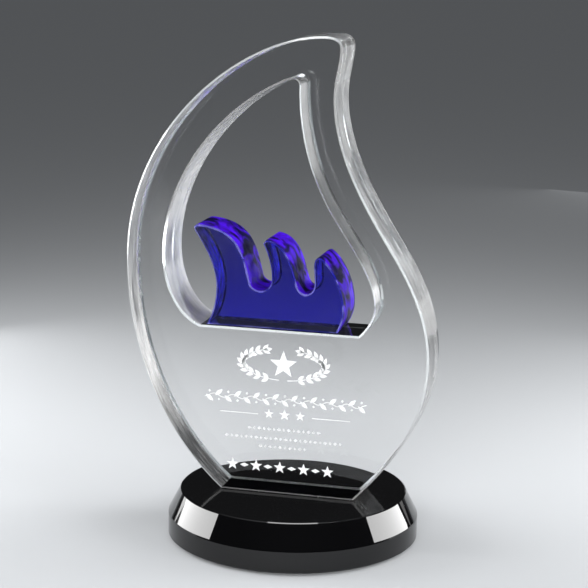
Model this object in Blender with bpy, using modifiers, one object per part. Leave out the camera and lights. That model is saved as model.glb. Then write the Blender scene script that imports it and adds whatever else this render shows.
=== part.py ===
"""Crystal award: a clear flame-shaped plate with a window, three blue crystal flames standing
in the window, and a round black crystal base.

Metres, +Z up. The origin is the centre of the underside. X runs across the plate, to the
viewer's right, and the plate faces -Y.
"""

from math import radians

import bmesh
import bpy
from mathutils import Matrix

# Base, from the table up: a felt pad, then a disc with an upright rim and a conical bevel.
PAD_THICKNESS = 0.0010
PAD_MARGIN = 0.0030  # the felt ends this far inside the disc's edge
BASE_DIAMETER = 0.1300
BASE_HEIGHT = 0.0235
BASE_RIM_HEIGHT = 0.0110
BASE_BEVEL_RUN = 0.0065  # how far the bevel leans in on its way up
BASE_CHAMFER = 0.0004

# Flame plate. Its window keeps these walls to the plate's widest and highest points.
PLATE_WIDTH = 0.1584
PLATE_HEIGHT = 0.2346
PLATE_THICKNESS = 0.0300
PLATE_FOOT_WIDTH = 0.0700
PLATE_CHAMFER = 0.0010
WINDOW_LEFT_WALL = 0.0203
WINDOW_RIGHT_WALL = 0.0285
WINDOW_TOP_WALL = 0.0214
LEDGE_HEIGHT = 0.0861  # from the plate's foot to the flat sill of the window

# Blue flames, cut from one thinner plate that stands on the sill.
FLAMES_HEIGHT = 0.0516
FLAMES_LEFT_GAP = 0.0029  # from the sill's left end to the flames' foot
FLAMES_RIGHT_GAP = 0.0117
FLAMES_FACE_STEP = 0.0015  # from each face of the clear plate in to the flames' face
FLAMES_CHAMFER = 0.0008

# Joints between pieces.
SEAT_GAP = 0.0003
GLUE_THICKNESS = 0.0002
GLUE_GAP = (SEAT_GAP - GLUE_THICKNESS) / 2

ROUND_SEGMENTS = 96
OUTLINE_STEPS = 14
WELD_DISTANCE = 0.00001
CHAMFERED_ANGLE = radians(25)
SMOOTH_ANGLE = radians(20)

# Heights worked out from the above.
BASE_BOTTOM_Z = PAD_THICKNESS + SEAT_GAP
BASE_TOP_Z = BASE_BOTTOM_Z + BASE_HEIGHT
PLATE_FOOT_Z = BASE_TOP_Z + SEAT_GAP
LEDGE_Z = PLATE_FOOT_Z + LEDGE_HEIGHT
FLAMES_FOOT_Z = LEDGE_Z + SEAT_GAP

# Outlines, counterclockwise. A row of two numbers is a straight run to (x, z). A row of six
# is a curve: the handle it leaves by, the handle it arrives by, and its end.

# The plate, in percent of its width and height, from the middle of its foot.
PLATE_LEFT_SHARE = -54.6
HALF_FOOT_SHARE = 50 * PLATE_FOOT_WIDTH / PLATE_WIDTH
PLATE_OUTLINE = (
    (HALF_FOOT_SHARE, 0),
    (35.7, 9.5, 45.4, 19.3, 45.4, 31.6),
    (45.4, 41.9, 38.2, 50.0, 31.2, 57.2),
    (22.1, 66.8, 13.6, 76.8, 13.6, 87.5),
    (13.6, 91.3, 15.4, 94.3, 15.4, 97.3),
    (15.4, 99.2, 13.6, 100, 9.8, 100),
    (-15.2, 100, -54.6, 80.2, -54.6, 50.8),
    (-54.6, 29.1, -41.7, 11.2, -HALF_FOOT_SHARE, 0),
)

# The window, in percent of its own width and height, from its left wall and its sill.
LEDGE_LEFT_SHARE = 17.5
LEDGE_RIGHT_SHARE = 93.2
WINDOW_OUTLINE = (
    (LEDGE_RIGHT_SHARE, 0),
    (97.4, 4.0, 100, 7.6, 100, 11.9),
    (100, 22.5, 88.7, 34.7, 79.6, 46.9),
    (69.1, 61.1, 63.1, 78.8, 63.1, 97.2),
    (63.1, 99.7, 60.7, 100.6, 57.7, 99.5),
    (24.8, 87.4, 0, 57.5, 0, 28.4),
    (0, 15.0, 7.0, 3.4, LEDGE_LEFT_SHARE, 0),
)

# The flames, in percent of their foot's width and their height, from their foot's left end.
FLAMES_OUTLINE = (
    (100, 0),
    (103.1, 7.4, 105.0, 13.2, 105.0, 21.9),
    (105.0, 42.2, 97.4, 62.6, 88.6, 72.3),
    (85.3, 76.2, 81.9, 72.9, 81.9, 65.5),
    (81.9, 59.7, 82.5, 54.8, 82.5, 48.1),
    (82.5, 34.5, 72.0, 33.1, 69.3, 44.2),
    (66.7, 55.8, 62.8, 86.5, 45.3, 88.0),
    (42.2, 88.4, 42.3, 85.5, 44.1, 81.4),
    (47.7, 72.3, 50.1, 60.7, 50.1, 50.0),
    (50.1, 34.1, 35.3, 34.1, 33.4, 44.2),
    (28.0, 73.3, 24.4, 96.2, -4.8, 99.4),
    (-9.9, 100.0, -11.4, 97.1, -8.9, 92.2),
    (1.8, 71.7, 7.4, 54.8, 7.4, 38.4),
    (7.4, 22.9, 4.7, 10.3, 0, 0),
)


def clear_scene():
    for obj in list(bpy.data.objects):
        bpy.data.objects.remove(obj, do_unlink=True)


def make_material(name, color, roughness, transmission=0.0, ior=1.5):
    material = bpy.data.materials.new(name)
    material.use_nodes = True
    shader = material.node_tree.nodes["Principled BSDF"]
    shader.inputs["Base Color"].default_value = (*color, 1.0)
    shader.inputs["Metallic"].default_value = 0.0
    shader.inputs["Roughness"].default_value = roughness
    shader.inputs["Transmission Weight"].default_value = transmission
    shader.inputs["IOR"].default_value = ior
    return material


def add_object(name, data, collection):
    obj = bpy.data.objects.new(name, data)
    collection.objects.link(obj)
    return obj


def add_chamfer(obj, width):
    chamfer = obj.modifiers.new("edge_chamfer", "BEVEL")
    chamfer.width = width
    chamfer.segments = 1
    chamfer.limit_method = "ANGLE"
    chamfer.angle_limit = CHAMFERED_ANGLE


def as_mesh(source, collection):
    """The object as its modifiers leave it, with loose caps welded and round walls smooth."""
    graph = bpy.context.evaluated_depsgraph_get()
    mesh = bpy.data.meshes.new_from_object(source.evaluated_get(graph))
    welded = bmesh.new()
    welded.from_mesh(mesh)
    bmesh.ops.remove_doubles(welded, verts=welded.verts, dist=WELD_DISTANCE)
    welded.to_mesh(mesh)
    welded.free()
    mesh.shade_smooth()
    mesh.set_sharp_from_angle(angle=SMOOTH_ANGLE)
    name = source.name
    place = source.matrix_world.copy()
    bpy.data.objects.remove(source, do_unlink=True)
    solid = add_object(name, mesh, collection)
    solid.matrix_world = place
    return solid


def add_loop(curve, rows, corner, size):
    """Draws one closed outline: corner is where its (0, 0) lies, size what 100 percent is."""
    spline = curve.splines.new("BEZIER")
    spline.use_cyclic_u = True
    spline.bezier_points.add(len(rows) - 1)

    def place(x, z):
        return (corner[0] + size[0] * x / 100, corner[1] + size[1] * z / 100, 0)

    # Each row arrives at its own point, so the next row is the one that leaves it.
    for point, arriving, leaving in zip(spline.bezier_points, rows, rows[1:] + rows[:1]):
        point.co = place(*arriving[-2:])
        point.handle_left_type = "VECTOR" if len(arriving) == 2 else "FREE"
        point.handle_right_type = "VECTOR" if len(leaving) == 2 else "FREE"
        if len(arriving) == 6:
            point.handle_left = place(*arriving[2:4])
        if len(leaving) == 6:
            point.handle_right = place(*leaving[:2])


def make_plate(name, loops, thickness, chamfer, material, collection):
    """A flat plate standing upright, sawn to its outlines, with all its edges chamfered."""
    curve = bpy.data.curves.new(name, "CURVE")
    curve.dimensions = "2D"
    curve.fill_mode = "BOTH"
    curve.extrude = thickness / 2
    curve.resolution_u = OUTLINE_STEPS
    for rows, corner, size in loops:
        add_loop(curve, rows, corner, size)
    drawn = add_object(name, curve, collection)
    drawn.rotation_euler.x = radians(90)
    bpy.context.view_layer.update()
    plate = as_mesh(drawn, collection)
    plate.data.materials.append(material)
    add_chamfer(plate, chamfer)
    return plate


def window_box():
    """(left, bottom, width, height) of the window, all from the plate's own sizes."""
    plate_left = PLATE_WIDTH * PLATE_LEFT_SHARE / 100
    left = plate_left + WINDOW_LEFT_WALL
    width = PLATE_WIDTH - WINDOW_LEFT_WALL - WINDOW_RIGHT_WALL
    height = PLATE_HEIGHT - LEDGE_HEIGHT - WINDOW_TOP_WALL
    return left, LEDGE_Z, width, height


def flames_foot():
    """(left, right) ends of the flames' foot, set in from the ends of the sill."""
    left, _, width, _ = window_box()
    foot_left = left + width * LEDGE_LEFT_SHARE / 100 + FLAMES_LEFT_GAP
    foot_right = left + width * LEDGE_RIGHT_SHARE / 100 - FLAMES_RIGHT_GAP
    return foot_left, foot_right


def make_flame_plate(material, collection):
    left, bottom, width, height = window_box()
    outline = (PLATE_OUTLINE, (0, PLATE_FOOT_Z), (PLATE_WIDTH, PLATE_HEIGHT))
    window = (WINDOW_OUTLINE, (left, bottom), (width, height))
    make_plate("flame_plate", (outline, window), PLATE_THICKNESS, PLATE_CHAMFER, material, collection)


def make_blue_flames(material, collection):
    left, right = flames_foot()
    outline = (FLAMES_OUTLINE, (left, FLAMES_FOOT_Z), (right - left, FLAMES_HEIGHT))
    thickness = PLATE_THICKNESS - 2 * FLAMES_FACE_STEP
    make_plate("blue_flames", (outline,), thickness, FLAMES_CHAMFER, material, collection)


def make_glue_film(name, left, right, depth, seat_z, material, collection):
    """A thin clear film of adhesive between two faces, seat_z being the lower one."""
    film = bmesh.new()
    middle = Matrix.Translation(((left + right) / 2, 0, seat_z + GLUE_GAP + GLUE_THICKNESS / 2))
    shape = Matrix.Diagonal((right - left, depth, GLUE_THICKNESS, 1))
    bmesh.ops.create_cube(film, size=1, matrix=middle @ shape)
    mesh = bpy.data.meshes.new(name)
    film.to_mesh(mesh)
    film.free()
    mesh.materials.append(material)
    add_object(name, mesh, collection)


def make_plate_bond(material, collection):
    half = PLATE_FOOT_WIDTH / 2 - PLATE_CHAMFER
    depth = PLATE_THICKNESS - 2 * PLATE_CHAMFER
    make_glue_film("plate_bond", -half, half, depth, BASE_TOP_Z, material, collection)


def make_flames_bond(material, collection):
    left, right = flames_foot()
    depth = PLATE_THICKNESS - 2 * (FLAMES_FACE_STEP + FLAMES_CHAMFER)
    film_left = left + FLAMES_CHAMFER
    film_right = right - FLAMES_CHAMFER
    make_glue_film("flames_bond", film_left, film_right, depth, LEDGE_Z, material, collection)


def make_base_disc(material, collection):
    """Turned from a profile that runs from the middle of the top, down the outside, and in."""
    radius = BASE_DIAMETER / 2
    profile = (
        (0, BASE_TOP_Z),
        (radius - BASE_BEVEL_RUN, BASE_TOP_Z),
        (radius, BASE_BOTTOM_Z + BASE_RIM_HEIGHT),
        (radius, BASE_BOTTOM_Z),
        (0, BASE_BOTTOM_Z),
    )
    mesh = bpy.data.meshes.new("base_disc")
    edges = [(index, index + 1) for index in range(len(profile) - 1)]
    mesh.from_pydata([(radius, 0, height) for radius, height in profile], edges, [])
    turned = add_object("base_disc", mesh, collection)
    screw = turned.modifiers.new("turned", "SCREW")
    screw.steps = ROUND_SEGMENTS
    screw.render_steps = ROUND_SEGMENTS
    screw.use_merge_vertices = True
    screw.merge_threshold = WELD_DISTANCE
    disc = as_mesh(turned, collection)
    disc.data.materials.append(material)
    add_chamfer(disc, BASE_CHAMFER)


def make_felt_pad(material, collection):
    radius = BASE_DIAMETER / 2 - PAD_MARGIN
    pad = bmesh.new()
    bmesh.ops.create_cone(
        pad,
        cap_ends=True,
        segments=ROUND_SEGMENTS,
        radius1=radius,
        radius2=radius,
        depth=PAD_THICKNESS,
        matrix=Matrix.Translation((0, 0, PAD_THICKNESS / 2)),
    )
    mesh = bpy.data.meshes.new("felt_pad")
    pad.to_mesh(mesh)
    pad.free()
    mesh.shade_smooth()
    mesh.set_sharp_from_angle(angle=SMOOTH_ANGLE)
    mesh.materials.append(material)
    add_object("felt_pad", mesh, collection)


def build():
    clear_scene()
    award = bpy.data.collections.new("crystal_award")
    bpy.context.scene.collection.children.link(award)
    clear = make_material("clear_crystal", (0.97, 0.98, 0.98), 0.0, transmission=1.0, ior=1.52)
    blue = make_material("blue_crystal", (0.02, 0.03, 0.60), 0.0, transmission=1.0, ior=1.52)
    black = make_material("black_crystal", (0.004, 0.004, 0.005), 0.02, ior=1.52)
    glue = make_material("clear_glue", (0.95, 0.95, 0.93), 0.05, transmission=1.0)
    felt = make_material("black_felt", (0.02, 0.02, 0.022), 0.95)
    make_felt_pad(felt, award)
    make_base_disc(black, award)
    make_plate_bond(glue, award)
    make_flame_plate(clear, award)
    make_flames_bond(glue, award)
    make_blue_flames(blue, award)


build()
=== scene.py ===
from math import radians, tan

import bpy
import numpy as np
from mathutils import Matrix, Vector
from mathutils.geometry import tessellate_polygon


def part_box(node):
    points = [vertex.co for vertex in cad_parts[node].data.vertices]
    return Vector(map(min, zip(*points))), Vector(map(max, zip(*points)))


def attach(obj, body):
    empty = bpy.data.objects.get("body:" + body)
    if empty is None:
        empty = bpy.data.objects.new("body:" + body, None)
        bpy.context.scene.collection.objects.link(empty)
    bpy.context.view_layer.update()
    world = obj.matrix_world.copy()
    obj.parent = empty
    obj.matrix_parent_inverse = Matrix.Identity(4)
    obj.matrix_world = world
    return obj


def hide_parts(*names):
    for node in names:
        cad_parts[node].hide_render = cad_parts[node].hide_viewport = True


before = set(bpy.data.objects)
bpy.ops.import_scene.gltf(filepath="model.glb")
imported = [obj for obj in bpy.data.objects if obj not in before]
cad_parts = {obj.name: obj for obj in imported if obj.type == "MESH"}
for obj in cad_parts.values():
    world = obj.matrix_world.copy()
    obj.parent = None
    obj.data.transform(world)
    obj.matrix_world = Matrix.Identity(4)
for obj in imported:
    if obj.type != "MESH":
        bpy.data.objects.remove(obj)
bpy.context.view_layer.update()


# ---- Camera ----
# The viewpoint: a long lens about a metre away, a little to the right of the front and a
# little above, tilted by a degree.


def look_from(azimuth, elevation, distance, target, roll):
    """A camera matrix. It stands distance from the target at those angles, looks back along
    that line, and is turned about it by roll."""
    around, above, turn = radians(azimuth), radians(elevation), radians(roll)
    flat = np.array([np.sin(around), -np.cos(around), 0]) * np.cos(above)
    back = flat + np.array([0, 0, np.sin(above)])
    side = np.array([np.cos(around), np.sin(around), 0])
    rise = np.cross(back, side)
    matrix = np.eye(4)
    matrix[:3, 0] = np.cos(turn) * side + np.sin(turn) * rise
    matrix[:3, 1] = -np.sin(turn) * side + np.cos(turn) * rise
    matrix[:3, 2] = back
    matrix[:3, 3] = np.array(target) + distance * back
    return Matrix(matrix)


VIEW_AZIMUTH = 14.11
VIEW_ELEVATION = 12.14
VIEW_ROLL = 1.01
VIEW_DISTANCE = 0.9563
VIEW_TARGET = (-0.0014, -0.0003, 0.1275)

lens = bpy.data.cameras.new("camera")
lens.sensor_width = 36
lens.lens = 114.7
camera = bpy.data.objects.new("camera", lens)
bpy.context.scene.collection.objects.link(camera)
camera.matrix_world = look_from(
    VIEW_AZIMUTH, VIEW_ELEVATION, VIEW_DISTANCE, VIEW_TARGET, VIEW_ROLL
)
bpy.context.scene.camera = camera
bpy.context.scene.view_settings.view_transform = "Standard"


# ---- Studio ----
# A pale matt floor in a dim room, lit by soft boxes at the sides, above and behind, by two
# spots that make the floor brightest near the award, and by two fills for what scatters.


def material_named(name):
    """A new material, its nodes, its links and its Principled shader."""
    material = bpy.data.materials.new(name)
    material.use_nodes = True
    tree = material.node_tree
    return material, tree.nodes, tree.links, tree.nodes["Principled BSDF"]


def piece_of(name, points, faces, materials, smooth_below=25):
    """A mesh object at the origin from arrays of points and faces, smooth except at edges
    that turn by more than smooth_below degrees."""
    mesh = bpy.data.meshes.new(name)
    mesh.from_pydata(np.asarray(points).tolist(), [], [list(face) for face in faces])
    mesh.validate()
    mesh.shade_smooth()
    mesh.set_sharp_from_angle(angle=radians(smooth_below))
    for material in materials:
        mesh.materials.append(material)
    piece = bpy.data.objects.new(name, mesh)
    bpy.context.scene.collection.objects.link(piece)
    return piece


LAMP_TARGET = (0, 0, 0.10)


def soft_box(name, azimuth, elevation, distance, size, radiance, target=LAMP_TARGET, spread=180):
    """A flat lamp facing the target. Its power is four times its radiance times its area, and
    that times 1 - a / tan(a) where its light is held within an angle a of straight ahead."""
    lamp = bpy.data.lights.new(name, "AREA")
    lamp.shape = "RECTANGLE"
    lamp.size, lamp.size_y = size
    lamp.energy = 4 * radiance * size[0] * size[1]
    if spread < 180:
        lamp.spread = radians(spread)
        lamp.energy *= 1 - radians(spread / 2) / tan(radians(spread / 2))
    box = bpy.data.objects.new(name, lamp)
    bpy.context.scene.collection.objects.link(box)
    box.matrix_world = look_from(azimuth, elevation, distance, target, 0)
    box.visible_camera = False
    return box


FLOOR_HALF = 8.0
floor_material, _, _, shader = material_named("pale_floor")
shader.inputs["Base Color"].default_value = (0.37, 0.38, 0.392, 1)
shader.inputs["Roughness"].default_value = 1
shader.inputs["Specular IOR Level"].default_value = 0
corners = FLOOR_HALF * np.array([(-1, -1, 0), (1, -1, 0), (1, 1, 0), (-1, 1, 0)])
floor = piece_of("floor", corners, [(0, 1, 2, 3)], [floor_material])

# Angles round the award are counted from the viewpoint's.
FRONT = 14.1
soft_box("soft_box_left", FRONT - 103, 12, 0.50, (0.45, 0.29), 8.5)
soft_box("soft_box_right", FRONT + 100, 12, 0.50, (0.42, 0.29), 8.3)
soft_box("low_strip_left", FRONT - 139, -3, 0.50, (0.24, 0.08), 3.4)
soft_box("low_strip_right", FRONT + 139, -3, 0.50, (0.24, 0.08), 0.6)
soft_box("soft_box_above", FRONT, 90, 0.65, (0.60, 0.15), 6.4)
soft_box("spot_on_near_floor", FRONT, 90, 0.35, (0.2, 0.2), 34, (0.011, -0.30, 0), 50)
soft_box("spot_on_left_floor", FRONT, 90, 0.50, (0.4, 0.4), 31, (-0.53, -0.79, 0), 60)
soft_box("soft_box_behind", FRONT + 156, 1, 1.2, (0.44, 0.24), 0.35)

# Two lamps that light only what scatters light, and are not mirrored in the crystal.
for name, azimuth, size, radiance, spread in (
    ("fill_in_front", 8, 0.5, 21, 50),
    ("fill_on_right", 72, 0.4, 20, 36),
):
    fill = soft_box(name, azimuth, 13, 1.0, (size, size), radiance, spread=spread)
    fill.visible_glossy = False
    fill.visible_transmission = False

# The room is dark round the horizon and lighter overhead: its light is a constant plus a
# share of the sixth power of z, the height that it comes from.
ROOM_AT_HORIZON = 0.018
ROOM_OVERHEAD = 0.85
room = bpy.data.worlds.new("dim_room")
room.use_nodes = True
nodes, links = room.node_tree.nodes, room.node_tree.links
way = nodes.new("ShaderNodeTexCoord")
split = nodes.new("ShaderNodeSeparateXYZ")
links.new(way.outputs["Generated"], split.inputs["Vector"])
rise = nodes.new("ShaderNodeMath")
rise.operation = "MAXIMUM"
links.new(split.outputs["Z"], rise.inputs[0])
steep = nodes.new("ShaderNodeMath")
steep.operation = "POWER"
steep.inputs[1].default_value = 6
links.new(rise.outputs["Value"], steep.inputs[0])
glow = nodes.new("ShaderNodeMath")
glow.operation = "MULTIPLY_ADD"
glow.inputs[1].default_value = ROOM_OVERHEAD
glow.inputs[2].default_value = ROOM_AT_HORIZON
links.new(steep.outputs["Value"], glow.inputs[0])
nodes["Background"].inputs["Color"].default_value = (0.95, 0.97, 1, 1)
links.new(glow.outputs["Value"], nodes["Background"].inputs["Strength"])
bpy.context.scene.world = room


# ---- Clear flame plate ----
# A slab of clear optical crystal sawn to a leaning flame with a flame-shaped window, its
# walls ground and polished by hand and all its edges chamfered. Its foot is glued to the
# black base.

PLATE_CHAMFER = 0.0010

# Rows of an outline: two numbers are a straight run to (x, z) and six are a curve, with its
# two handles and its end. They are percent of the outline's width and height. The plate's
# count from the middle of its foot, and its left share is its leftmost point.
PLATE_LEFT_SHARE = -54.6
PLATE_ROWS = (
    (22.1, 0),
    (35.7, 9.5, 45.4, 19.3, 45.4, 31.6),
    (45.4, 41.9, 38.2, 50.0, 31.2, 57.2),
    (22.1, 66.8, 13.6, 76.8, 13.6, 87.5),
    (13.6, 91.3, 15.4, 94.3, 15.4, 97.3),
    (15.4, 99.2, 13.6, 100, 9.8, 100),
    (-15.2, 100, -54.6, 80.2, -54.6, 50.8),
    (-54.6, 29.1, -41.7, 11.2, -22.1, 0),
)
WINDOW_LEFT_WALL = 0.0203
WINDOW_RIGHT_WALL = 0.0285
WINDOW_TOP_WALL = 0.0214
LEDGE_HEIGHT = 0.0861
LEDGE_LEFT_SHARE = 17.5
LEDGE_RIGHT_SHARE = 93.2
WINDOW_ROWS = (
    (LEDGE_RIGHT_SHARE, 0),
    (97.4, 4.0, 100, 7.6, 100, 11.9),
    (100, 22.5, 88.7, 34.7, 79.6, 46.9),
    (69.1, 61.1, 63.1, 78.8, 63.1, 97.2),
    (63.1, 99.7, 60.7, 100.6, 57.7, 99.5),
    (24.8, 87.4, 0, 57.5, 0, 28.4),
    (0, 15.0, 7.0, 3.4, LEDGE_LEFT_SHARE, 0),
)
OUTLINE_STEP = 0.0006

# A turn of more than this many degrees is a corner, and other points keep this many chamfers
# away from one.
CORNER_TURN = 20
CORNER_ROOM = 1.3
SAME_HEIGHT = 1e-5
SLIVER = 1e-14


def drawn_outline(rows, corner, size, step=OUTLINE_STEP):
    """Points about a step apart along a closed outline.

    A curve from a to d with handles b and c is, at share t of the way,
    (1-t)^3 a + 3(1-t)^2 t b + 3(1-t) t^2 c + t^3 d, and the points are even in length."""
    runs = []
    start = np.array(rows[-1][-2:], float)
    for row in rows:
        ends = np.array(row, float).reshape(-1, 2)
        if len(ends) == 1:
            ends = start + (ends - start) * np.array([[1 / 3], [2 / 3], [1]])
        knots = np.vstack([start, ends]) * np.array(size) / 100 + np.array(corner)
        t = np.linspace(0, 1, 400)[:, None]
        fine = (1 - t) ** 3 * knots[0] + 3 * (1 - t) ** 2 * t * knots[1]
        fine += 3 * (1 - t) * t**2 * knots[2] + t**3 * knots[3]
        length = np.append(0, np.cumsum(np.linalg.norm(np.diff(fine, axis=0), axis=1)))
        count = max(2, round(length[-1] / step))
        even = np.linspace(0, length[-1], count + 1)[:-1]
        runs.append(np.column_stack([np.interp(even, length, axis) for axis in fine.T]))
        start = ends[-1]
    return np.vstack(runs)


def corner_turn(points):
    """How much a closed outline turns at each of its points, in radians: the angle whose sine
    and cosine go as the cross and dot products of the edges on either side."""
    ahead = np.roll(points, -1, 0) - points
    behind = points - np.roll(points, 1, 0)
    cross = behind[:, 0] * ahead[:, 1] - behind[:, 1] * ahead[:, 0]
    return np.arctan2(cross, (behind * ahead).sum(1))


def without_crowding(points, room):
    """Drops the points closer than room to a corner, so that an inset can't fold there."""
    corners = points[np.abs(corner_turn(points)) > radians(CORNER_TURN)]
    near = np.linalg.norm(points[:, None] - corners[None], axis=2)
    return points[((near > room) | (near < 1e-9)).all(1)]


def inset(points, distance):
    """Moves a closed outline towards the side on its left: each point by distance along the
    mean of its two edges' normals over one plus their dot product, which mitres corners."""
    ahead = np.roll(points, -1, 0) - points
    ahead /= np.linalg.norm(ahead, axis=1)[:, None]
    after = np.column_stack([-ahead[:, 1], ahead[:, 0]])
    before = np.roll(after, 1, 0)
    return points + distance * (before + after) / (1 + (before * after).sum(1))[:, None]


def filled(points, loops):
    """Triangles between flat loops of points, as rows of point numbers: loops[0] is the edge
    and the others are holes.

    The cross product of two sides is twice a triangle's area. Where it is negative the
    triangle is turned round, so that all run anticlockwise. Where it is nothing, as along a
    straight run of points, the triangle is left out, and the edges there only touch."""
    numbers = np.concatenate(loops)
    edges = [[Vector((*points[number], 0)) for number in loop] for loop in loops]
    fill = numbers[np.array(tessellate_polygon(edges))]
    a, b, c = (points[fill[:, corner]] for corner in range(3))
    area = (b - a)[:, 0] * (c - a)[:, 1] - (b - a)[:, 1] * (c - a)[:, 0]
    fill[area < 0] = fill[area < 0][:, ::-1]
    return fill[np.abs(area) > SLIVER]


def lies_at(outline, height):
    """Which edges of a closed outline lie flat at that height."""
    level = np.abs(outline[:, 1] - height) < SAME_HEIGHT
    return level & np.roll(level, -1)


def sawn_plate(name, outlines, front, back, chamfer, materials, foot, sill=None):
    """A flat plate between y = front and y = back, with material on each outline's left.

    Each outline is carried through four rings: inset by the chamfer on the front face, full
    size one chamfer in from it, full size one chamfer in from the back face, and inset on
    the back face. The flat faces are filled between the inset rings. Faces take material 0
    on the flats, 1 on the first outline's walls, 2 on the chamfers, 3 on the wall at
    z = foot and 4 on the second outline's walls, but 0 on the wall at z = sill."""
    depths = (front, front + chamfer, back - chamfer, back)
    insets = (chamfer, 0, 0, chamfer)
    points, faces, marks, first, flats = [], [], [], 0, []
    for number, outline in enumerate(outlines):
        outline = without_crowding(outline, CORNER_ROOM * chamfer)
        count = len(outline)
        here = np.arange(count)
        after = (here + 1) % count
        for ring, (depth, distance) in enumerate(zip(depths, insets)):
            moved = inset(outline, distance)
            points.append(np.column_stack([moved[:, 0], np.full(count, depth), moved[:, 1]]))
            if ring == 3:
                continue
            low, high = first + ring * count, first + (ring + 1) * count
            faces.append(np.column_stack([low + here, high + here, high + after, low + after]))
            mark = np.full(count, 2)
            if ring == 1:
                mark = np.where(lies_at(outline, foot), 3, (1, 4)[number])
                if sill is not None:
                    mark = np.where(lies_at(outline, sill), 0, mark)
            marks.append(mark)
        flats.append(first + here)
        first += 4 * count
    points = np.vstack(points)
    walls = np.vstack(faces)
    caps = filled(points[:, [0, 2]], flats)
    to_back = np.zeros(len(points), int)
    for flat in flats:
        to_back[flat] = flat + 3 * len(flat)
    all_faces = walls.tolist() + caps.tolist() + to_back[caps][:, ::-1].tolist()
    plate = piece_of(name, points, all_faces, materials)
    marks = np.concatenate(marks + [np.zeros(2 * len(caps), int)])
    plate.data.polygons.foreach_set("material_index", marks.astype(np.int32))
    return plate


CRYSTAL_IOR = 1.52


def clear_crystal(name, polish, waviness=0, along=0.22, clearness=1, streak_shade=0.3):
    """Clear optical crystal: passes nearly all the light, and greys it a little over a long
    way.

    Its roughness runs from the first to the second number of polish with a fine noise. With
    waviness, the noise is drawn out along the wall, as the wheel left it, to one over along
    times its depth, and the surface rises and falls by up to that many metres with it. What
    clearness leaves over is scattered, as a ground surface does. On a wavy surface the base
    colour carries painted shade in streaks along the noise, which pass only streak_shade of
    the light. There is none where streak_shade is 0."""
    material, nodes, links, shader = material_named(name)
    shader.inputs["Transmission Weight"].default_value = clearness
    shader.inputs["IOR"].default_value = CRYSTAL_IOR
    shader.inputs["Base Color"].default_value = (1, 1, 1, 1)
    place = nodes.new("ShaderNodeTexCoord")
    drawn = nodes.new("ShaderNodeMapping")
    drawn.inputs["Scale"].default_value = (along, 1, along) if waviness else (1, 1, 1)
    links.new(place.outputs["Object"], drawn.inputs["Vector"])
    marks = nodes.new("ShaderNodeTexNoise")
    marks.inputs["Scale"].default_value = 210 if waviness else 90
    marks.inputs["Detail"].default_value = 6
    marks.inputs["Roughness"].default_value = 0.62
    links.new(drawn.outputs["Vector"], marks.inputs["Vector"])
    haze = nodes.new("ShaderNodeMapRange")
    haze.inputs["From Min"].default_value = 0.38
    haze.inputs["From Max"].default_value = 0.68
    haze.inputs["To Min"].default_value = polish[0]
    haze.inputs["To Max"].default_value = polish[1]
    links.new(marks.outputs["Fac"], haze.inputs["Value"])
    links.new(haze.outputs["Result"], shader.inputs["Roughness"])
    if waviness:
        ripple = nodes.new("ShaderNodeTexNoise")
        ripple.inputs["Scale"].default_value = 120
        ripple.inputs["Detail"].default_value = 3
        links.new(drawn.outputs["Vector"], ripple.inputs["Vector"])
        bump = nodes.new("ShaderNodeBump")
        bump.inputs["Strength"].default_value = 1
        bump.inputs["Distance"].default_value = waviness
        links.new(ripple.outputs["Fac"], bump.inputs["Height"])
        links.new(bump.outputs["Normal"], shader.inputs["Normal"])
    # Painted shade: darker streaks in the base colour that dim the light the wall passes.
    if waviness and streak_shade:
        shade_streaks = nodes.new("ShaderNodeValToRGB")
        shade_streaks.color_ramp.elements[0].position = 0.36
        shade_streaks.color_ramp.elements[0].color = (streak_shade, 1.02 * streak_shade, 1.05 * streak_shade, 1)
        shade_streaks.color_ramp.elements[1].position = 0.58
        shade_streaks.color_ramp.elements[1].color = (1, 1, 1, 1)
        links.new(marks.outputs["Fac"], shade_streaks.inputs["Fac"])
        links.new(shade_streaks.outputs["Color"], shader.inputs["Base Color"])
    body = nodes.new("ShaderNodeVolumeAbsorption")
    body.inputs["Color"].default_value = (0.75, 0.85, 0.88, 1)
    body.inputs["Density"].default_value = 0.9
    links.new(body.outputs["Volume"], nodes["Material Output"].inputs["Volume"])
    return material


def glued_face(name, colour):
    """A crystal face seen through the glue behind it: the colour of what it is glued to."""
    material, nodes, links, shader = material_named(name)
    grain = nodes.new("ShaderNodeTexNoise")
    grain.inputs["Scale"].default_value = 400
    place = nodes.new("ShaderNodeTexCoord")
    links.new(place.outputs["Object"], grain.inputs["Vector"])
    ramp = nodes.new("ShaderNodeValToRGB")
    ramp.color_ramp.elements[0].color = (*(0.7 * np.array(colour)), 1)
    ramp.color_ramp.elements[1].color = (*(1.3 * np.array(colour)), 1)
    links.new(grain.outputs["Fac"], ramp.inputs["Fac"])
    links.new(ramp.outputs["Color"], shader.inputs["Base Color"])
    shader.inputs["Specular IOR Level"].default_value = 0
    shader.inputs["Roughness"].default_value = 0.6
    return material


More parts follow.
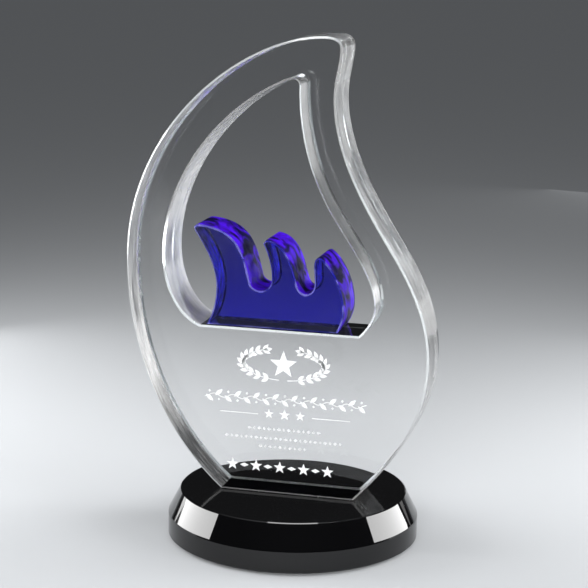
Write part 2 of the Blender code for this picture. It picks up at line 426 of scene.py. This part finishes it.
low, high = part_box("flame_plate")
plate_front, plate_back, plate_foot = low.y, high.y, low.z
plate_width, plate_height = high.x - low.x, high.z - low.z
plate_outline = drawn_outline(PLATE_ROWS, (0, plate_foot), (plate_width, plate_height))
window_left = plate_width * PLATE_LEFT_SHARE / 100 + WINDOW_LEFT_WALL
window_width = plate_width - WINDOW_LEFT_WALL - WINDOW_RIGHT_WALL
window_height = plate_height - LEDGE_HEIGHT - WINDOW_TOP_WALL
ledge_z = plate_foot + LEDGE_HEIGHT
window_outline = drawn_outline(WINDOW_ROWS, (window_left, ledge_z), (window_width, window_height))
plate = sawn_plate(
    "clear_plate",
    [plate_outline, window_outline[::-1]],
    plate_front,
    plate_back,
    PLATE_CHAMFER,
    [
        clear_crystal("clear_crystal_face", (0.0, 0.004)),
        clear_crystal("clear_crystal_wall", (0.02, 0.30), waviness=0.00018, clearness=0.88),
        clear_crystal("clear_crystal_chamfer", (0.08, 0.30), clearness=0.8),
        glued_face("glued_to_black", (0.004, 0.004, 0.005)),
        # The window's walls take paler painted shade than the outer walls: painted light that
        # makes them whiter.
        clear_crystal(
            "clear_crystal_window_wall", (0.02, 0.20), waviness=0.00006, clearness=0.62, streak_shade=0.8
        ),
    ],
    plate_foot,
    ledge_z,
)
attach(plate, "root")
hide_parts("flame_plate")


# ---- Etched ornament ----
# Ornament sandblasted lightly into the front face of the plate, which leaves it white and
# rough: a wreath round a star, bands of leaves and lozenges, and a row of stars. It is
# made as thin frosted slabs lying on the face.

ETCH_LIFT = 0.00001
ETCH_DEPTH = 0.00005
ETCH_MIDDLE = -0.0026


def leaf_shape(length, width, steps=12):
    """A leaf: at share t of its length, half its width is width / 2 times sin(pi t)."""
    t = np.linspace(0, 1, steps + 1)
    x = (t - 0.5) * length
    bulge = width / 2 * np.sin(np.pi * t)
    upper = np.column_stack([x, bulge])[1:][::-1]
    lower = np.column_stack([x, -bulge])[:-1]
    return np.vstack([lower, upper])


def star(radius, inner=0.42, tips=5):
    """A star: its points stand on two circles in turn, the first of them at the top."""
    angle = np.pi / 2 + np.pi * np.arange(2 * tips) / tips
    reach = np.where(np.arange(2 * tips) % 2 == 0, radius, inner * radius)
    return np.column_stack([reach * np.cos(angle), reach * np.sin(angle)])


def bar(length, width):
    """A straight rule: its corners stand half its length and width from the middle."""
    return np.array([(-1, -1), (1, -1), (1, 1), (-1, 1)]) * (length / 2, width / 2)


def lozenge(length, width):
    """A square set on its corner and stretched: its corners are half its length and width
    from the middle, along its two axes."""
    return np.array([(0, -1), (1, 0), (0, 1), (-1, 0)]) * (length / 2, width / 2)


def ribbon(path, width):
    """A line of even width: the path moved half the width to either side along its normal."""
    along = np.gradient(path, axis=0)
    along /= np.linalg.norm(along, axis=1)[:, None]
    side = np.column_stack([along[:, 1], -along[:, 0]]) * width / 2
    return np.vstack([path + side, (path - side)[::-1]])


def placed(shape, x, z, angle=0):
    """A shape turned by angle in radians and moved to (x, z)."""
    turn = np.array([(np.cos(angle), np.sin(angle)), (-np.sin(angle), np.cos(angle))])
    return shape @ turn + (x, z)


def etched(name, shapes, whiteness):
    """Flat shapes on the plate's front face, each a closed slab as deep as the etching."""
    front = plate_front - ETCH_LIFT - ETCH_DEPTH
    points, faces, first = [], [], 0
    for shape in shapes:
        count = len(shape)
        here = first + np.arange(count)
        after = first + (np.arange(count) + 1) % count
        for depth in (front, front + ETCH_DEPTH):
            points.append(np.column_stack([shape[:, 0], np.full(count, depth), shape[:, 1]]))
        caps = filled(shape, [np.arange(count)])
        faces += (first + caps).tolist() + (first + count + caps)[:, ::-1].tolist()
        faces += np.column_stack([here, here + count, after + count, after]).tolist()
        first += 2 * count
    piece = piece_of(name, np.vstack(points), faces, [frosting(name + "_frost", whiteness)])
    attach(piece, "root")
    return piece


def frosting(name, whiteness):
    """Sandblasted crystal: white, quite rough, with a fine speckle, and a share of it, one
    minus whiteness, still clear."""
    material, nodes, links, shader = material_named(name)
    place = nodes.new("ShaderNodeTexCoord")
    speckle = nodes.new("ShaderNodeTexNoise")
    speckle.inputs["Scale"].default_value = 1800
    speckle.inputs["Detail"].default_value = 4
    links.new(place.outputs["Object"], speckle.inputs["Vector"])
    shade = nodes.new("ShaderNodeValToRGB")
    shade.color_ramp.elements[0].position = 0.3
    shade.color_ramp.elements[0].color = (0.78, 0.79, 0.80, 1)
    shade.color_ramp.elements[1].position = 0.7
    shade.color_ramp.elements[1].color = (0.97, 0.98, 0.98, 1)
    links.new(speckle.outputs["Fac"], shade.inputs["Fac"])
    links.new(shade.outputs["Color"], shader.inputs["Base Color"])
    shader.inputs["Roughness"].default_value = 0.9
    shader.inputs["Specular IOR Level"].default_value = 0.2
    shader.inputs["Transmission Weight"].default_value = 0.3
    shader.inputs["Alpha"].default_value = whiteness
    return material


# The wreath: two branches round an ellipse from the foot to near the top, with leaves in
# pairs that lean outwards, and a star in the middle.
WREATH_HALF = (0.0215, 0.0082)
WREATH_Z = 0.0936
WREATH_STAR = 0.0074
WREATH_LEAF = (0.0046, 0.0019)
BRANCH_WIDTH = 0.0004
BRANCH_POINTS = 60
LEAF_LEAN = 0.6
LEAF_REACH = 0.0019
leaf = leaf_shape(*WREATH_LEAF)
shapes = [placed(star(WREATH_STAR), ETCH_MIDDLE, WREATH_Z)]
for side in (-1, 1):
    sweep = -np.pi / 2 + side * np.linspace(0.10, 2.75, BRANCH_POINTS)
    branch = np.column_stack([np.cos(sweep), np.sin(sweep)]) * WREATH_HALF
    branch += (ETCH_MIDDLE, WREATH_Z)
    shapes.append(ribbon(branch, BRANCH_WIDTH))
    for spot in range(6, BRANCH_POINTS, 5):
        ahead = branch[min(spot + 1, BRANCH_POINTS - 1)] - branch[spot - 1]
        heading = np.arctan2(ahead[1], ahead[0])
        for lean in (-LEAF_LEAN, LEAF_LEAN):
            tilt = heading + lean
            middle = branch[spot] + LEAF_REACH * np.array([np.cos(tilt), np.sin(tilt)])
            shapes.append(placed(leaf, *middle, tilt))
    ahead = branch[-1] - branch[-2]
    shapes.append(placed(leaf, *branch[-1], np.arctan2(ahead[1], ahead[0])))
etched("etched_wreath", shapes, 0.9)

# The wide band: a waving stem with a leaf over and under it in turn.
LINE_WIDTH = 0.00035
BAND_MIDDLE = -0.0015
BAND_Z = 0.0750
BAND_HALF = 0.0425
BAND_PITCH = 0.0050
BAND_WAVE = 0.0009
BAND_LEAF = (0.0050, 0.0021)
BAND_LEAF_RISE = 0.0015
BAND_LEAF_LEAN = 0.7
BAND_DOT = 0.0014
BAND_DOT_RISE = 0.0021
wave = np.linspace(-BAND_HALF, BAND_HALF, 260)
stem_z = BAND_Z + BAND_WAVE * np.sin(np.pi * wave / BAND_PITCH)
shapes = [ribbon(np.column_stack([wave + BAND_MIDDLE, stem_z]), LINE_WIDTH)]
for number, spot in enumerate(np.arange(-BAND_HALF + 0.5 * BAND_PITCH, BAND_HALF, BAND_PITCH)):
    over = 1 if number % 2 else -1
    x = spot + BAND_MIDDLE
    leaf_z = BAND_Z + over * BAND_LEAF_RISE
    shapes.append(placed(leaf_shape(*BAND_LEAF), x, leaf_z, over * BAND_LEAF_LEAN))
    shapes.append(placed(lozenge(BAND_DOT, BAND_DOT), x, BAND_Z - over * BAND_DOT_RISE))
etched("etched_band", shapes, 0.75)

# Three small stars between two rules.
RULE_Z = 0.0668
SMALL_STAR_Z = 0.0673
shapes = [
    placed(star(radius), x, SMALL_STAR_Z)
    for x, radius in ((-0.0098, 0.0026), (-0.0016, 0.0030), (0.0066, 0.0026))
]
for middle, length in ((-0.0257, 0.0202), (0.0227, 0.0197)):
    shapes.append(placed(bar(length, LINE_WIDTH), middle, RULE_Z))
etched("etched_rules", shapes, 0.75)

# Three faint rows of small lozenges, long and short in turn: each row's ends and height.
FAINT_ROWS = ((-0.020, 0.017, 0.0593), (-0.032, 0.028, 0.0543), (-0.014, 0.0119, 0.0499))
FAINT_PITCH = 0.0026
FAINT_LENGTHS = (0.0022, 0.0013)
FAINT_WIDTH = 0.0016
shapes = []
for left, right, row_z in FAINT_ROWS:
    for number, spot in enumerate(np.arange(left, right, FAINT_PITCH)):
        shapes.append(placed(lozenge(FAINT_LENGTHS[number % 2], FAINT_WIDTH), spot, row_z))
etched("etched_rows", shapes, 0.4)

# The lowest row, the whitest: five stars with lozenges between them. It is not mirrored in
# the base's top.
STARS_Z = 0.0391
shapes = []
for number, spot in enumerate(np.linspace(-0.0288, 0.0215, 9)):
    shape = lozenge(0.0046, 0.0022) if number % 2 else star(0.0033)
    shapes.append(placed(shape, spot, STARS_Z))
etched("etched_stars", shapes, 1).visible_glossy = False


# ---- Blue flames ----
# A thinner slab of cobalt blue crystal sawn to three tongues of flame joined at the foot,
# polished and chamfered like the plate and glued to the sill of its window.

FLAMES_CHAMFER = 0.0008
FLAMES_LEFT_GAP = 0.0029
FLAMES_RIGHT_GAP = 0.0117
FLAMES_HEIGHT = 0.0516
FLAMES_ROWS = (
    (100, 0),
    (103.1, 7.4, 105.0, 13.2, 105.0, 21.9),
    (105.0, 42.2, 97.4, 62.6, 88.6, 72.3),
    (85.3, 76.2, 81.9, 72.9, 81.9, 65.5),
    (81.9, 59.7, 82.5, 54.8, 82.5, 48.1),
    (82.5, 34.5, 72.0, 33.1, 69.3, 44.2),
    (66.7, 55.8, 62.8, 86.5, 45.3, 88.0),
    (42.2, 88.4, 42.3, 85.5, 44.1, 81.4),
    (47.7, 72.3, 50.1, 60.7, 50.1, 50.0),
    (50.1, 34.1, 35.3, 34.1, 33.4, 44.2),
    (28.0, 73.3, 24.4, 96.2, -4.8, 99.4),
    (-9.9, 100.0, -11.4, 97.1, -8.9, 92.2),
    (1.8, 71.7, 7.4, 54.8, 7.4, 38.4),
    (7.4, 22.9, 4.7, 10.3, 0, 0),
)


def blue_crystal(name, polish, waviness=0, along=0.22, clearness=1, painted_glints=None):
    """Cobalt blue crystal: the clear one with a dye that stops red and green within a few
    millimetres and lets nearly all the blue through. With painted_glints, two colours, its
    base colour is a noise patchwork of them: painted glints that stand in for the light its
    small uneven facets bend, violet on the walls and pale blue on the chamfers."""
    material = clear_crystal(name, polish, waviness, along, clearness, streak_shade=0)
    nodes, links = material.node_tree.nodes, material.node_tree.links
    dye = next(node for node in nodes if node.type == "VOLUME_ABSORPTION")
    dye.inputs["Color"].default_value = (0.14, 0.13, 0.93, 1)
    dye.inputs["Density"].default_value = 150
    # Painted glints: a noise patchwork of two colours laid into the base colour.
    if painted_glints:
        place = next(node for node in nodes if node.type == "TEX_COORD")
        glint_patches = nodes.new("ShaderNodeTexNoise")
        glint_patches.inputs["Scale"].default_value = 85
        glint_patches.inputs["Detail"].default_value = 1.5
        glint_patches.inputs["Distortion"].default_value = 1.2
        links.new(place.outputs["Object"], glint_patches.inputs["Vector"])
        tint = nodes.new("ShaderNodeValToRGB")
        tint.color_ramp.elements[0].position = 0.42
        tint.color_ramp.elements[0].color = (*painted_glints[0], 1)
        tint.color_ramp.elements[1].position = 0.60
        tint.color_ramp.elements[1].color = (*painted_glints[1], 1)
        links.new(glint_patches.outputs["Fac"], tint.inputs["Fac"])
        shader = nodes["Principled BSDF"]
        links.new(tint.outputs["Color"], shader.inputs["Base Color"])
        shader.inputs["Specular IOR Level"].default_value = 0.12
        shader.inputs["Specular Tint"].default_value = (0.35, 0.25, 1, 1)
    return material


# Painted glints: violet patches on the walls and pale blue painted highlights on the chamfers.
WALL_GLINT_PAINT = ((0.001, 0.001, 0.05), (0.10, 0.006, 1))
CHAMFER_GLINT_PAINT = ((0.03, 0.03, 0.5), (0.28, 0.28, 0.95))
FLAMES_STEP = 0.0004

low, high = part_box("blue_flames")
foot_left = window_left + window_width * LEDGE_LEFT_SHARE / 100 + FLAMES_LEFT_GAP
foot_right = window_left + window_width * LEDGE_RIGHT_SHARE / 100 - FLAMES_RIGHT_GAP
flames_size = (foot_right - foot_left, FLAMES_HEIGHT)
flames_outline = drawn_outline(FLAMES_ROWS, (foot_left, low.z), flames_size, FLAMES_STEP)
flames = sawn_plate(
    "blue_tongues",
    [flames_outline],
    low.y,
    high.y,
    FLAMES_CHAMFER,
    [
        blue_crystal("blue_crystal_face", (0.0, 0.004)),
        blue_crystal(
            "blue_crystal_wall",
            (0.35, 0.65),
            waviness=0.0003,
            along=0.9,
            clearness=0.35,
            painted_glints=WALL_GLINT_PAINT,
        ),
        blue_crystal("blue_crystal_chamfer", (0.1, 0.3), clearness=0.7, painted_glints=CHAMFER_GLINT_PAINT),
        blue_crystal("blue_crystal_foot", (0.0, 0.01)),
    ],
    low.z,
)
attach(flames, "root")
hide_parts("blue_flames")


# ---- Black base ----
# A disc of opaque black crystal with an upright rim, a cut conical bevel and a flat top,
# turned and polished, with fine chamfers on its edges.

BASE_RIM_HEIGHT = 0.0110
BASE_BEVEL_RUN = 0.0065
BASE_CHAMFER = 0.0004
BASE_SIDES = 360


def turned(name, profile, materials, sides=BASE_SIDES):
    """A profile of (radius, z) carried round the z axis: at angle a each of its points is at
    (r cos a, r sin a, z). Its first and last points lie on the axis, and close it."""
    profile = np.array(profile)
    rings = profile[1:-1]
    angle = np.linspace(0, 2 * np.pi, sides, endpoint=False)
    x = rings[:, :1] * np.cos(angle)
    y = rings[:, :1] * np.sin(angle)
    z = np.broadcast_to(rings[:, 1:], x.shape)
    points = np.stack([x, y, z], axis=2).reshape(-1, 3)
    here = np.arange(sides)
    after = (here + 1) % sides
    faces = []
    for ring in range(len(rings) - 1):
        low, high = ring * sides, (ring + 1) * sides
        faces += np.column_stack([low + here, high + here, high + after, low + after]).tolist()
    top, bottom = len(points), len(points) + 1
    last = (len(rings) - 1) * sides
    points = np.vstack([points, (0, 0, profile[0][1]), (0, 0, profile[-1][1])])
    faces += np.column_stack([np.full(sides, top), here, after]).tolist()
    faces += np.column_stack([np.full(sides, bottom), last + after, last + here]).tolist()
    return piece_of(name, points, faces, materials, smooth_below=10)


def chamfered(profile, width):
    """Cuts each inner corner of a profile: it becomes two points, width along each side."""
    profile = np.array(profile)
    before = profile[:-2] - profile[1:-1]
    after = profile[2:] - profile[1:-1]
    before /= np.linalg.norm(before, axis=1)[:, None]
    after /= np.linalg.norm(after, axis=1)[:, None]
    cut = np.stack([profile[1:-1] + width * before, profile[1:-1] + width * after], axis=1)
    return np.vstack([profile[:1], cut.reshape(-1, 2), profile[-1:]])


def black_crystal():
    """Opaque black crystal: a mirror-smooth surface over black, with faint wiping marks."""
    material, nodes, links, shader = material_named("black_crystal")
    place = nodes.new("ShaderNodeTexCoord")
    smear = nodes.new("ShaderNodeTexNoise")
    smear.inputs["Scale"].default_value = 35
    smear.inputs["Detail"].default_value = 8
    smear.inputs["Distortion"].default_value = 1.5
    links.new(place.outputs["Object"], smear.inputs["Vector"])
    gloss = nodes.new("ShaderNodeMapRange")
    gloss.inputs["From Min"].default_value = 0.4
    gloss.inputs["From Max"].default_value = 0.8
    gloss.inputs["To Min"].default_value = 0.01
    gloss.inputs["To Max"].default_value = 0.08
    links.new(smear.outputs["Fac"], gloss.inputs["Value"])
    links.new(gloss.outputs["Result"], shader.inputs["Roughness"])
    shader.inputs["Base Color"].default_value = (0.001, 0.001, 0.0012, 1)
    shader.inputs["IOR"].default_value = CRYSTAL_IOR
    return material


low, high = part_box("base_disc")
radius = high.x
disc_profile = chamfered(
    (
        (0, high.z),
        (radius - BASE_BEVEL_RUN, high.z),
        (radius, low.z + BASE_RIM_HEIGHT),
        (radius, low.z),
        (0, low.z),
    ),
    BASE_CHAMFER,
)
base = turned("black_base", disc_profile, [black_crystal()])
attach(base, "root")
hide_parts("base_disc")


# ---- Glue films ----
# A thin film of clear glue under the plate's foot and another under the flames.


def clear_glue():
    """Set adhesive: clear, with a few tiny bubbles that scatter light."""
    material, nodes, links, shader = material_named("clear_glue")
    shader.inputs["Transmission Weight"].default_value = 1
    shader.inputs["IOR"].default_value = 1.5
    shader.inputs["Base Color"].default_value = (0.98, 0.98, 0.96, 1)
    place = nodes.new("ShaderNodeTexCoord")
    bubbles = nodes.new("ShaderNodeTexVoronoi")
    bubbles.inputs["Scale"].default_value = 500
    links.new(place.outputs["Object"], bubbles.inputs["Vector"])
    blur = nodes.new("ShaderNodeMapRange")
    blur.inputs["From Min"].default_value = 0.0
    blur.inputs["From Max"].default_value = 0.3
    blur.inputs["To Min"].default_value = 0.4
    blur.inputs["To Max"].default_value = 0.05
    links.new(bubbles.outputs["Distance"], blur.inputs["Value"])
    links.new(blur.outputs["Result"], shader.inputs["Roughness"])
    return material


glue = clear_glue()
for node in ("plate_bond", "flames_bond"):
    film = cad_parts[node]
    film.data.materials.clear()
    film.data.materials.append(glue)


# ---- Felt pad ----
# A disc of short black felt stuck under the base, a little smaller than it.


def black_felt():
    """Pressed wool felt: matt, mottled, with fine fibres standing in every direction."""
    material, nodes, links, shader = material_named("black_felt")
    place = nodes.new("ShaderNodeTexCoord")
    fibres = nodes.new("ShaderNodeTexNoise")
    fibres.inputs["Scale"].default_value = 2200
    fibres.inputs["Detail"].default_value = 6
    fibres.inputs["Distortion"].default_value = 2
    links.new(place.outputs["Object"], fibres.inputs["Vector"])
    shade = nodes.new("ShaderNodeValToRGB")
    shade.color_ramp.elements[0].color = (0.006, 0.006, 0.007, 1)
    shade.color_ramp.elements[1].color = (0.045, 0.045, 0.05, 1)
    links.new(fibres.outputs["Fac"], shade.inputs["Fac"])
    links.new(shade.outputs["Color"], shader.inputs["Base Color"])
    bump = nodes.new("ShaderNodeBump")
    bump.inputs["Strength"].default_value = 0.6
    bump.inputs["Distance"].default_value = 0.0002
    links.new(fibres.outputs["Fac"], bump.inputs["Height"])
    links.new(bump.outputs["Normal"], shader.inputs["Normal"])
    shader.inputs["Roughness"].default_value = 1
    shader.inputs["Sheen Weight"].default_value = 0.3
    return material


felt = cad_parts["felt_pad"]
felt.data.materials.clear()
felt.data.materials.append(black_felt())
